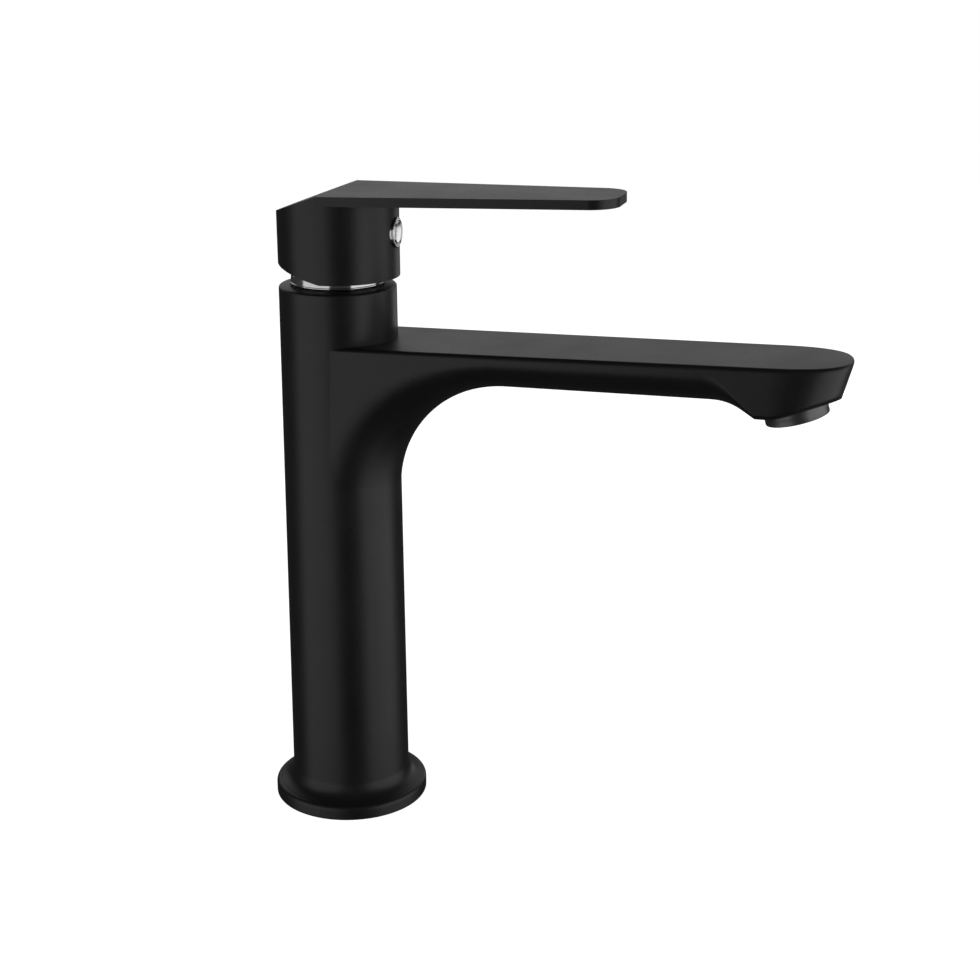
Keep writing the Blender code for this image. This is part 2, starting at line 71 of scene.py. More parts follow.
# Spout
SPOUT_TOP_Z = 196.3
SPOUT_RISE = 0.0122
SPOUT_EDGE = 1.9
FILLET_R = 46.9
FILLET_X = RIM_R + 0.35 + FILLET_R
FILLET_Z = 134.3
UNDERSIDE_RISE = 0.003
ROOT_HALF_W = 23.3
SPOUT_HALF_W = 22.0
TIP_HALF_W = 20.8
ROOT_BELLY = 23.3
SPOUT_BELLY = 13.8
HEAD_BELLY = 4.5
ROOT_TURN = (math.radians(20), math.radians(85))
BELLY_X = (146.4, 166.0)
NOSE_START_X = 168.0
NOSE_POWER = 2.6
NOSE_UNDERCUT = 0.28
RAMP_X = 148.8
RAMP_DROP = 0.0094
RAMP_POWER = 2.21
HEAD_LOW_Z = 176.5
HEAD_TILT = math.radians(15.5)
BELLY_STEPS = 40
WALL_STEPS = 8
EDGE_STEPS = 4
NOSE_STEPS = 44

# Valve opening
CHAMBER_R = 17.6
CHAMBER_Z = 193.3
THREAD_Z = 212.5

# Lever handle
LEVER_LOW, LEVER_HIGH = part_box("lever_handle")
CAP_Z = LEVER_LOW.z / MM
BLADE_TIP_X = LEVER_HIGH.x / MM
CAP_X = 0.8
CAP_R = 23.65
CAP_BORE_R = 21.0
CAP_CEILING_Z = 242.0
HUB_R = 10.0
HUB_Z = 230.0
STEM_SOCKET = 4.1
STEM_TOP_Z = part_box("stem")[1].z / MM
BLADE_TOP_Z = 254.0
BLADE_THICK = 3.6
BLADE_RISE = 0.015
BLADE_ROOT_HALF_W = 23.7
BLADE_TIP_HALF_W = 16.4
BLADE_CORNER_R = 11.0
REAR_SLOPE = 0.37
RELIEF_SLOPE = 0.25
PLUG_LOW, PLUG_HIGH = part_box("index_plug")
PLUG_Z = (PLUG_LOW.z + PLUG_HIGH.z) / 2 / MM
PLUG_R = (PLUG_HIGH.z - PLUG_LOW.z) / 2 / MM
PLUG_FACE_X = PLUG_HIGH.x / MM
PLUG_RECESS_X = 22.6
PLUG_STUB_R = 2.8
GRUB_BORE_R = 3.1
CUT_REACH = 40

# Trim collar
BEAD_R = 0.5
DOME_TOP_R = 12.6
DOME_WIDTH = 5.6
DOME_FOOT_Z = 219.7

# Aerator
AERATOR_X = 179.3
AERATOR_Z = 178.2
AERATOR_R = 12.5
AERATOR_DROP = 2.8
AERATOR_RECESS = 10.5
SCREEN_R = 9.9
SCREEN_CELL = 1.5
SCREEN_WALL = 0.22
SCREEN_RIM = 0.9
SCREEN_Z = (-1.2, -0.5)

# Camera and light
AIM = Vector((57.06, 15.69, 132.27))
VIEW_AZIMUTH = 15.377
VIEW_ELEVATION = 17.774
VIEW_DISTANCE = 712.97
VIEW_ROLL = -0.125
LENS = 64.7
SENSOR = 36.0
FLOOR_HALF = 4000
FLOOR_Z = (-10, -0.05)
ROOM_LIGHT = 0.035
FLOOR_GLOW = 0.99
# Name, azimuth from the camera, elevation, distance in mm, width and height in degrees, radiance
LIGHTS = (
    ("left_softbox", -53, -5, 900, 70, 64, 0.62),
    ("right_softbox", 72, -5, 900, 76, 64, 0.85),
    ("rear_softbox", 180, 26, 1000, 100, 34, 0.5),
    ("plug_card", 151.3, -6, 730, 16, 12, 1.1),
)


# ---------------------------------------------------------------- mesh helpers

def new_piece(name, mesh, finish=None):
    obj = bpy.data.objects.new(name, mesh)
    bpy.context.scene.collection.objects.link(obj)
    if finish is not None:
        mesh.materials.append(finish)
    return obj


def arc(centre, radius, start, end, steps):
    """Points of an arc, angles in degrees."""
    angles = [math.radians(start + (end - start) * i / steps) for i in range(steps + 1)]
    return [(centre[0] + radius * math.cos(a), centre[1] + radius * math.sin(a)) for a in angles]


def turned_mesh(name, profile, segments=ROUND, longest=None):
    """Solid of revolution from a (radius, height) profile that runs down its outer side. A profile
    off the axis is closed into a ring. Long steps are split to the longest length given."""
    points = list(profile)
    is_ring = min(radius for radius, height in points) > 1e-9
    if is_ring:
        points.append(points[0])
    if longest:
        fine = [points[0]]
        for start, end in zip(points, points[1:]):
            steps = max(1, math.ceil(math.dist(start, end) / longest))
            for i in range(1, steps + 1):
                share = i / steps
                fine.append((mix(start[0], end[0], share), mix(start[1], end[1], share)))
        points = fine
    if is_ring:
        points.pop()
    shape = bmesh.new()
    turns = []
    for i in range(segments):
        angle = 2 * math.pi * i / segments
        turns.append((math.cos(angle), math.sin(angle)))
    rows = []
    for radius, height in points:
        if radius < 1e-9:
            rows.append([shape.verts.new((0, 0, height * MM))])
        else:
            places = [(radius * c * MM, radius * s * MM, height * MM) for c, s in turns]
            rows.append([shape.verts.new(place) for place in places])
    pairs = list(zip(rows, rows[1:]))
    if is_ring:
        pairs.append((rows[-1], rows[0]))
    for upper, lower in pairs:
        for i in range(segments):
            j = (i + 1) % segments
            corners = [upper[i % len(upper)], lower[i % len(lower)]]
            corners += [lower[j % len(lower)], upper[j % len(upper)]]
            corners = [v for k, v in enumerate(corners) if v not in corners[:k]]
            if len(corners) > 2:
                shape.faces.new(corners)
    return finished_mesh(name, shape)


def finished_mesh(name, shape):
    bmesh.ops.remove_doubles(shape, verts=shape.verts, dist=1e-7)
    bmesh.ops.recalc_face_normals(shape, faces=shape.faces)
    mesh = bpy.data.meshes.new(name)
    shape.to_mesh(mesh)
    shape.free()
    return mesh


def mix(a, b, share):
    return a + (b - a) * share


def smooth(share):
    share = min(max(share, 0.0), 1.0)
    return share * share * (3 - 2 * share)


def rod_mesh(name, radius, low, high, segments=FINE):
    return turned_mesh(name, [(0, high), (radius, high), (radius, low), (0, low)], segments)


def ring_mesh(name, outer, inner, low, high, segments=FINE):
    return turned_mesh(name, [(inner, high), (outer, high), (outer, low), (inner, low)], segments)


def prism_mesh(name, outline, low, high, on_side=False):
    """Outline extruded from low to high, an XY outline along Z or an XZ outline along Y."""
    shape = bmesh.new()
    if on_side:
        ends = [[shape.verts.new((u * MM, w * MM, v * MM)) for u, v in outline] for w in (low, high)]
    else:
        ends = [[shape.verts.new((u * MM, v * MM, w * MM)) for u, v in outline] for w in (low, high)]
    shape.faces.new(ends[0])
    shape.faces.new(ends[1])
    for i in range(len(outline)):
        shape.faces.new((ends[0][i - 1], ends[0][i], ends[1][i], ends[1][i - 1]))
    return finished_mesh(name, shape)


def along_x(mesh, z):
    """Turns a mesh's own Z to +X, at a height."""
    mesh.transform(Matrix.Translation((0, 0, z * MM)) @ Matrix.Rotation(math.pi / 2, 4, "Y"))
    return mesh


def head_matrix():
    """Frame of the tilted aerator, its origin on the head's underside and its Z up into the head."""
    return Matrix.Translation((AERATOR_X * MM, 0, AERATOR_Z * MM)) @ Matrix.Rotation(-HEAD_TILT, 4, "Y")


def in_head(mesh):
    mesh.transform(head_matrix())
    return mesh


def carve(obj, joined=(), removed=()):
    """Joins and removes meshes from the piece with exact Booleans, and keeps the result as its mesh."""
    tools = []
    for operation, meshes in (("UNION", joined), ("DIFFERENCE", removed)):
        for mesh in meshes:
            tool = new_piece(mesh.name, mesh)
            step = obj.modifiers.new(mesh.name, "BOOLEAN")
            step.operation = operation
            step.solver = "EXACT"
            step.object = tool
            tools.append(tool)
    apply_modifiers(obj)
    for tool in tools:
        mesh = tool.data
        bpy.data.objects.remove(tool, do_unlink=True)
        bpy.data.meshes.remove(mesh)
    return obj


def apply_modifiers(obj):
    graph = bpy.context.evaluated_depsgraph_get()
    made = bpy.data.meshes.new_from_object(obj.evaluated_get(graph))
    obj.modifiers.clear()
    old = obj.data
    obj.data = made
    made.name = obj.name
    bpy.data.meshes.remove(old)


def round_edges(obj, width, segments=2, angle=35):
    """Small real roundings on every edge sharper than the angle."""
    shape = bmesh.new()
    shape.from_mesh(obj.data)
    bmesh.ops.remove_doubles(shape, verts=shape.verts, dist=2e-6)
    bmesh.ops.dissolve_degenerate(shape, dist=1e-6, edges=shape.edges)
    shape.to_mesh(obj.data)
    shape.free()
    step = obj.modifiers.new("edges", "BEVEL")
    step.width = width * MM
    step.segments = segments
    step.limit_method = "ANGLE"
    step.angle_limit = math.radians(angle)
    step.harden_normals = False
    step.use_clamp_overlap = True
    apply_modifiers(obj)


def shade(obj, angle=32):
    obj.data.shade_smooth()
    obj.data.set_sharp_from_angle(angle=math.radians(angle))
    step = obj.modifiers.new("weighted", "WEIGHTED_NORMAL")
    step.mode = "FACE_AREA"
    step.weight = 60
    step.keep_sharp = True
    apply_modifiers(obj)
    return obj


# ---------------------------------------------------------------- materials

class Nodes:
    """Short ways to place and link the nodes of one material."""

    def __init__(self, name):
        self.material = bpy.data.materials.new(name)
        self.material.use_nodes = True
        self.tree = self.material.node_tree
        self.shader = self.tree.nodes["Principled BSDF"]
        self.place = self.add("ShaderNodeTexCoord").outputs["Object"]

    def add(self, kind, **settings):
        node = self.tree.nodes.new(kind)
        for key, value in settings.items():
            setattr(node, key, value)
        return node

    def link(self, source, target):
        self.tree.links.new(source, target)

    def stretched(self, scale):
        """The object's coordinates, scaled along each axis."""
        node = self.add("ShaderNodeMapping")
        node.inputs["Scale"].default_value = scale
        self.link(self.place, node.inputs["Vector"])
        return node.outputs["Vector"]

    def noise(self, scale, detail=4.0, rough=0.55, stretch=(1, 1, 1)):
        node = self.add("ShaderNodeTexNoise")
        node.inputs["Scale"].default_value = scale
        node.inputs["Detail"].default_value = detail
        node.inputs["Roughness"].default_value = rough
        self.link(self.stretched(stretch), node.inputs["Vector"])
        return node.outputs["Fac"]

    def span(self, value, low, high, start=0.3, end=0.7):
        """Maps a noise value to a range."""
        node = self.add("ShaderNodeMapRange")
        node.inputs["From Min"].default_value = start
        node.inputs["From Max"].default_value = end
        node.inputs["To Min"].default_value = low
        node.inputs["To Max"].default_value = high
        self.link(value, node.inputs["Value"])
        return node.outputs["Result"]

    def two_tones(self, value, dark, light, start=0.35, end=0.65):
        node = self.add("ShaderNodeValToRGB")
        node.color_ramp.elements[0].position = start
        node.color_ramp.elements[0].color = (*dark, 1)
        node.color_ramp.elements[1].position = end
        node.color_ramp.elements[1].color = (*light, 1)
        self.link(value, node.inputs["Fac"])
        return node.outputs["Color"]

    def sum(self, a, b):
        node = self.add("ShaderNodeMath", operation="ADD")
        self.link(a, node.inputs[0])
        self.link(b, node.inputs[1])
        return node.outputs[0]

    def bump(self, height, distance, strength=1.0, below=None):
        node = self.add("ShaderNodeBump")
        node.inputs["Distance"].default_value = distance * MM
        node.inputs["Strength"].default_value = strength
        self.link(height, node.inputs["Height"])
        if below is not None:
            self.link(below, node.inputs["Normal"])
        return node.outputs["Normal"]

    def set(self, **values):
        """Sets shader sockets: a number or colour directly, or a link from an output."""
        for key, value in values.items():
            socket = self.shader.inputs[key.replace("_", " ")]
            if isinstance(value, bpy.types.NodeSocket):
                self.link(value, socket)
            elif isinstance(value, tuple):
                socket.default_value = (*value, 1.0)
            else:
                socket.default_value = value
        return self.material


def black_coat(name, tone=1.0, grain=0.010):
    """Matt black coating on polished metal: a fine sprayed grain, faint polishing lines under it and soft
    clouds in its gloss."""
    n = Nodes(name)
    clouds = n.noise(38, 3)
    fine = n.noise(5200, 2, 0.6)
    lines = n.noise(900, 3, 0.6, (1, 1, 0.06))
    specks = n.noise(1500, 2, 0.5)
    dark = tuple(value * tone for value in (0.0135, 0.0135, 0.0142))
    light = tuple(value * tone for value in (0.0195, 0.0195, 0.0203))
    color = n.two_tones(n.sum(n.span(clouds, 0, 0.5), n.span(specks, 0, 0.5)), dark, light, 0.2, 0.8)
    gloss = n.sum(n.span(clouds, 0.365, 0.425), n.span(specks, -0.03, 0.03))
    relief = n.bump(fine, grain, 0.55, n.bump(lines, 0.006, 0.35))
    return n.set(Base_Color=color, Roughness=gloss, Normal=relief, Metallic=0.0, Specular_IOR_Level=0.55)


def polished_chrome(name, shade_of=0.8):
    """Plated chrome: a few soft water marks and hairline wiping scratches."""
    n = Nodes(name)
    marks = n.noise(160, 4)
    hair = n.noise(700, 2, 0.5, (1, 0.08, 1))
    color = n.two_tones(marks, (shade_of * 0.9,) * 3, (shade_of, shade_of, shade_of * 1.02))
    gloss = n.sum(n.span(marks, 0.05, 0.14), n.span(hair, 0.0, 0.05))
    return n.set(Base_Color=color, Roughness=gloss, Normal=n.bump(hair, 0.002, 0.25), Metallic=1.0)


def turned_metal(name, dark, light, gloss=0.3, lines=2400):
    """Machined metal with the fine rings that a lathe leaves round Z."""
    n = Nodes(name)
    rings = n.noise(lines, 2, 0.5, (0.03, 0.03, 1))
    tarnish = n.noise(120, 4)
    roughness = n.sum(n.span(rings, gloss - 0.05, gloss + 0.08), n.span(tarnish, -0.03, 0.06))
    relief = n.bump(rings, 0.02, 0.5)
    color = n.two_tones(tarnish, dark, light)
    return n.set(Base_Color=color, Roughness=roughness, Normal=relief, Metallic=1.0)


def moulded(name, dark, light, gloss=0.45, bump=0.02):
    """Injection-moulded plastic with a spark-eroded grain."""
    n = Nodes(name)
    grain = n.noise(2600, 3)
    clouds = n.noise(90, 3)
    roughness = n.sum(n.span(clouds, gloss - 0.06, gloss + 0.06), n.span(grain, -0.04, 0.04))
    color = n.two_tones(clouds, dark, light)
    return n.set(Base_Color=color, Roughness=roughness, Normal=n.bump(grain, bump, 0.5))


def rubber(name):
    n = Nodes(name)
    grain = n.noise(1800, 4)
    bloom = n.noise(140, 4)
    color = n.two_tones(bloom, (0.012, 0.012, 0.012), (0.035, 0.034, 0.033))
    return n.set(Base_Color=color, Roughness=n.span(bloom, 0.62, 0.85), Normal=n.bump(grain, 0.03, 0.6))


def ceramic(name):
    """Lapped alumina: nearly mirror-flat, with faint grey pores."""
    n = Nodes(name)
    pores = n.noise(3200, 2)
    color = n.two_tones(pores, (0.68, 0.67, 0.64), (0.86, 0.86, 0.83), 0.3, 0.45)
    return n.set(Base_Color=color, Roughness=n.span(pores, 0.12, 0.2), Normal=n.bump(pores, 0.003, 0.4))


def satin_grey(name):
    """Dark grey satin coating of the aerator ring, with its fine turning marks."""
    n = Nodes(name)
    rings = n.noise(1400, 2, 0.5, (0.05, 0.05, 1))
    clouds = n.noise(150, 3)
    specks = n.noise(2600, 2)
    color = n.two_tones(clouds, (0.15, 0.15, 0.152), (0.21, 0.21, 0.212))
    gloss = n.sum(n.span(clouds, 0.3, 0.4), n.span(specks, -0.03, 0.03))
    relief = n.bump(specks, 0.008, 0.5, n.bump(rings, 0.01, 0.4))
    return n.set(Base_Color=color, Roughness=gloss, Normal=relief, Metallic=0.65)


# ---------------------------------------------------------------- body casting

def column_mesh():
    rim = arc((RIM_R - RIM_EDGE, RIM_Z - RIM_EDGE), RIM_EDGE, 90, 0, 6)
    cove = arc((COLUMN_BASE_R + COVE_R, FOOT_H + COVE_R), COVE_R, 180, 270, 24)
    cove = [point for point in cove if point[0] < FOOT_R - FOOT_EDGE]
    foot = arc((FOOT_R - FOOT_EDGE, FOOT_H - FOOT_EDGE), FOOT_EDGE, 90, 0, 8)
    heel = arc((FOOT_R - 0.5, 0.5), 0.5, 0, -90, 4)
    bottom = [(GROOVE_R[1], 0), (GROOVE_R[1], GROOVE_H), (GROOVE_R[0], GROOVE_H), (GROOVE_R[0], 0), (0, 0)]
    profile = [(0, RIM_Z)] + rim + cove + foot + heel + bottom
    return turned_mesh("body_column", profile, longest=4.0)


def spout_top(x):
    return SPOUT_TOP_Z + SPOUT_RISE * x


def underside(x):
    """Height of the spout's underside on the centre line: level, down a ramp, then tilted at the outlet."""
    straight = FILLET_Z + FILLET_R + UNDERSIDE_RISE * (x - FILLET_X)
    ramp = straight - RAMP_DROP * max(0.0, x - RAMP_X) ** RAMP_POWER
    return max(ramp, HEAD_LOW_Z, AERATOR_Z + math.tan(HEAD_TILT) * (x - AERATOR_X))


def half_width(x):
    if x <= NOSE_START_X:
        return mix(SPOUT_HALF_W, TIP_HALF_W, min(1, (x - FILLET_X) / (NOSE_START_X - FILLET_X)))
    along = min(1.0, (x - NOSE_START_X) / (SPOUT_TIP_X - NOSE_START_X))
    return TIP_HALF_W * (1 - along**NOSE_POWER) ** (1 / NOSE_POWER)


def plan_normal(x):
    """Outward direction, in plan, of the spout's +Y edge."""
    if x <= NOSE_START_X:
        return (0.0, 1.0)
    along = min(1.0, (x - NOSE_START_X) / (SPOUT_TIP_X - NOSE_START_X))
    across = half_width(x) / TIP_HALF_W
    steepness = NOSE_POWER - 1
    normal = (along**steepness / (SPOUT_TIP_X - NOSE_START_X), across**steepness / TIP_HALF_W)
    size = math.hypot(*normal)
    return (normal[0] / size, normal[1] / size)


def belly_points(width, belly):
    angles = [math.pi * (i / BELLY_STEPS - 0.5) for i in range(BELLY_STEPS + 1)]
    return [(width * math.sin(a), belly * (1 - math.cos(a))) for a in angles]


def side_levels():
    """Shares of the way up a side wall, from the rounded belly to the top edge."""
    return [i / WALL_STEPS for i in range(1, WALL_STEPS)]


def root_section(angle):
    width = mix(ROOT_HALF_W, SPOUT_HALF_W, smooth(angle / (math.pi / 2)))
    turned_by = (angle - ROOT_TURN[0]) / (ROOT_TURN[1] - ROOT_TURN[0])
    belly = mix(ROOT_BELLY, SPOUT_BELLY, smooth(turned_by))
    to_axis = (FILLET_X + 2) / max(math.cos(angle), 1e-6)
    climb = math.sin(angle) + SPOUT_RISE * math.cos(angle)
    to_top = (spout_top(FILLET_X) - FILLET_Z) / climb
    outer = min(to_axis, to_top)
    edge = SPOUT_EDGE if to_top < to_axis else 0.0

    def at(y, distance, drop=0.0):
        return (FILLET_X - distance * math.cos(angle), y, FILLET_Z + distance * math.sin(angle) - drop)

    under = [at(y, FILLET_R + rise) for y, rise in belly_points(width, belly)]
    wall_top = outer - edge
    start = FILLET_R + belly
    wall = [mix(start, wall_top, level) for level in side_levels()]
    rounding = [(edge * math.cos(a), edge * math.sin(a)) for a in edge_angles()]
    right = [at(width, distance) for distance in wall]
    right += [at(width - edge + c, wall_top + s) for c, s in rounding]
    left = [(x, -y, z) for x, y, z in reversed(right)]
    return under + right + left


def edge_angles():
    return [math.pi / 2 * i / EDGE_STEPS for i in range(EDGE_STEPS + 1)]


def straight_section(x):
    width = half_width(x)
    lean = NOSE_UNDERCUT * smooth((x - BELLY_X[1]) / (SPOUT_TIP_X - BELLY_X[1]))
    belly = mix(SPOUT_BELLY, HEAD_BELLY, smooth((x - BELLY_X[0]) / (BELLY_X[1] - BELLY_X[0])))
    top = spout_top(x)
    low = underside(x)
    across = plan_normal(x)

    def at(shift, y, z):
        return (x + shift + lean * (z - top), y, z)

    under = [at(0, y, low + rise) for y, rise in belly_points(width, belly)]
    wall_top = top - SPOUT_EDGE
    start = low + belly
    right = [at(0, width, mix(start, wall_top, level)) for level in side_levels()]
    for a in edge_angles():
        inset = SPOUT_EDGE * (1 - math.cos(a))
        y = max(0.0, width - inset * across[1])
        right.append(at(-inset * across[0], y, wall_top + SPOUT_EDGE * math.sin(a)))
    left = [(px, -py, pz) for px, py, pz in reversed(right)]
    return under + right + left


def spout_mesh():
    sections = [root_section(math.radians(angle)) for angle in range(0, 90, 2)]
    stations = [FILLET_X + 2.0 * i for i in range(int((BELLY_X[0] - FILLET_X) / 2.0) + 1)]
    stations += [BELLY_X[0] + 0.7 * i for i in range(1, int((NOSE_START_X - BELLY_X[0]) / 0.7) + 1)]
    turned = [math.sin(math.pi / 2 * i / NOSE_STEPS) ** (2 / NOSE_POWER) for i in range(1, NOSE_STEPS + 1)]
    stations += [NOSE_START_X + (SPOUT_TIP_X - NOSE_START_X) * share for share in turned]
    sections += [straight_section(x) for x in stations]
    shape = bmesh.new()
    rings = [[shape.verts.new([v * MM for v in point]) for point in section] for section in sections]
    for near, far in zip(rings, rings[1:]):
        for i, corner in enumerate(near):
            shape.faces.new((near[i - 1], corner, far[i], far[i - 1]))
    shape.faces.new(rings[0])
    shape.faces.new(rings[-1])
    bmesh.ops.remove_doubles(shape, verts=shape.verts, dist=1e-6)
    bmesh.ops.dissolve_degenerate(shape, dist=1e-7, edges=shape.edges)
    return finished_mesh("body_spout", shape)


def body():
    piece = new_piece("body_casting", column_mesh())
    mouth = [(0, RIM_Z + 1), (RIM_BORE_R + MOUTH_BEVEL, RIM_Z + 1), (RIM_BORE_R + MOUTH_BEVEL, RIM_Z)]
    mouth += [(RIM_BORE_R, RIM_Z - MOUTH_BEVEL), (RIM_BORE_R, THREAD_Z)]
    mouth += [(CHAMBER_R, THREAD_Z - 0.5), (CHAMBER_R, CHAMBER_Z), (0, CHAMBER_Z)]
    foot = [(0, LOWER_BORE_Z), (LOWER_BORE_R, LOWER_BORE_Z), (LOWER_BORE_R, FOOT_BORE_Z)]
    foot += [(FOOT_BORE_R, FOOT_BORE_Z), (FOOT_BORE_R, -1), (0, -1)]
    carve(
        piece,
        [spout_mesh()],
        [
            turned_mesh("mouth_cut", mouth),
            turned_mesh("foot_cut", foot),
            in_head(rod_mesh("aerator_cut", AERATOR_R + GAP, -4, AERATOR_RECESS)),
        ],
    )
    piece.data.materials.clear()
    piece.data.materials.append(black_coat("matt_black_body"))
    shade(piece, 30)
    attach(piece, "faucet_body")
    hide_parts("body")


# ---------------------------------------------------------------- lever handle

def blade_outline():
    rear = arc((CAP_X, 0), BLADE_ROOT_HALF_W, 90, 270, 96)
    corner_x = BLADE_TIP_X - BLADE_CORNER_R
    near = arc((corner_x, -BLADE_TIP_HALF_W + BLADE_CORNER_R), BLADE_CORNER_R, -86, 0, 20)
    far = arc((corner_x, BLADE_TIP_HALF_W - BLADE_CORNER_R), BLADE_CORNER_R, 0, 86, 20)
    return rear + near + far[1:]


def lever():
    cap = new_piece("lever", rod_mesh("lever_cap", CAP_R, CAP_Z, BLADE_TOP_Z - 2, ROUND))
    cap.data.transform(Matrix.Translation((CAP_X * MM, 0, 0)))
    blade = prism_mesh("lever_blade", blade_outline(), -BLADE_THICK, 0)
    tilt = Matrix.Translation((0, 0, BLADE_TOP_Z * MM)) @ Matrix.Rotation(-math.atan(BLADE_RISE), 4, "Y")
    blade.transform(tilt)
    far_x = -CUT_REACH
    facet = [(0.4, BLADE_TOP_Z), (0.4, BLADE_TOP_Z + 6), (far_x, BLADE_TOP_Z + 6)]
    facet += [(far_x, BLADE_TOP_Z + REAR_SLOPE * (far_x - 0.4))]
    relief = [(1.0, CAP_Z), (far_x, CAP_Z - RELIEF_SLOPE * (far_x - 1))]
    relief += [(far_x, CAP_Z - 5), (1.0, CAP_Z - 5)]
    square = [(s * STEM_SOCKET, t * STEM_SOCKET) for s, t in ((-1, -1), (1, -1), (1, 1), (-1, 1))]
    carve(
        cap,
        [blade],
        [
            prism_mesh("facet_cut", facet, -CUT_REACH, CUT_REACH, on_side=True),
            prism_mesh("relief_cut", relief, -CUT_REACH, CUT_REACH, on_side=True),
            rod_mesh("mouth_cut", CAP_BORE_R, CAP_Z - 2, HUB_Z, ROUND),
            ring_mesh("cavity_cut", CAP_BORE_R, HUB_R, HUB_Z - 1, CAP_CEILING_Z, ROUND),
            prism_mesh("socket_cut", square, HUB_Z - 1, STEM_TOP_Z + GAP),
            along_x(rod_mesh("grub_cut", GRUB_BORE_R, 3, PLUG_RECESS_X + 0.1, 48), PLUG_Z),
            along_x(rod_mesh("plug_cut", PLUG_R + GAP, PLUG_RECESS_X, 30), PLUG_Z),
        ],
    )
    cap.data.materials.clear()
    cap.data.materials.append(black_coat("matt_black_lever", 1.05))
    round_edges(cap, 0.45, 3, 30)
    shade(cap, 40)
    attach(cap, "lever")
    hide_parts("lever_handle")


def index_plug():
    """Bright snap-in plug: a slightly crowned face inside a rolled rim, on a stub."""
    face = PLUG_FACE_X
    crown = [(PLUG_R * 0.66 * i / 8, face - 0.12 * (i / 8) ** 2) for i in range(9)]
    groove = [(PLUG_R - 1.75, face - 0.42), (PLUG_R - 1.45, face - 0.42), (PLUG_R - 1.25, face - 0.2)]
    rim = arc((PLUG_R - 0.9, face - 1.0), 0.9, 90, 0, 8)
    seat = PLUG_RECESS_X + GAP
    end = PLUG_LOW.x / MM
    back = [(PLUG_R, seat), (PLUG_STUB_R, seat), (PLUG_STUB_R, end), (0, end)]
    mesh = along_x(turned_mesh("plug", crown + groove + rim + back, FINE), PLUG_Z)
    piece = new_piece("index_button", mesh, polished_chrome("plug_chrome", 0.72))
    shade(piece, 50)
    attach(piece, "lever")
    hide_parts("index_plug")


def trim_collar():
    """Domed ring under the cap, with a bead round its foot. It comes down to the rim and hides the nut."""
    low_corner, high_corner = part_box("trim_collar")
    outer = high_corner.x / MM
    high = high_corner.z / MM
    bead = arc((outer - BEAD_R, low_corner.z / MM + 0.9), BEAD_R, 60, -60, 8)
    angles = [math.pi / 2 * i / 24 for i in range(25)]
    rise = high - DOME_FOOT_Z
    dome = [(DOME_TOP_R + DOME_WIDTH * math.sin(a), DOME_FOOT_Z + rise * math.cos(a)) for a in angles]
    foot = [(outer - BEAD_R, RIM_Z + 0.02), (outer - 1, RIM_Z + 0.02)]
    inside = [(outer - 1.2, 220.0), (15.1, 222.5), (DOME_TOP_R, high - 1.0)]
    mesh = turned_mesh("collar", dome + bead + foot + inside)
    piece = new_piece("collar", mesh, polished_chrome("collar_chrome", 0.82))
    shade(piece, 50)
    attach(piece, "faucet_body")
    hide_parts("trim_collar")


# ---------------------------------------------------------------- aerator

def aerator_housing():
    """Threaded ring of the aerator: a shouldered lip with a rounded edge and a bevelled mouth."""
    lip = -AERATOR_DROP
    lip_r = AERATOR_R - 0.4
    outside = [(10.3, 6.6), (AERATOR_R - 0.3, 6.6), (AERATOR_R, 6.3), (AERATOR_R, 0.4), (lip_r, 0.0)]
    outside += arc((lip_r - 0.5, lip + 0.5), 0.5, 0, -90, 6)
    inside = [(11.0, lip), (10.6, lip + 0.15), (9.7, lip + 0.75), (9.6, lip + 1.3), (10.3, lip + 1.3)]
    piece = new_piece("aerator_ring", in_head(turned_mesh("aerator_ring", outside + inside)))
    piece.data.materials.append(satin_grey("aerator_satin"))
    shade(piece, 45)
    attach(piece, "faucet_body")
    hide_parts("aerator_housing")


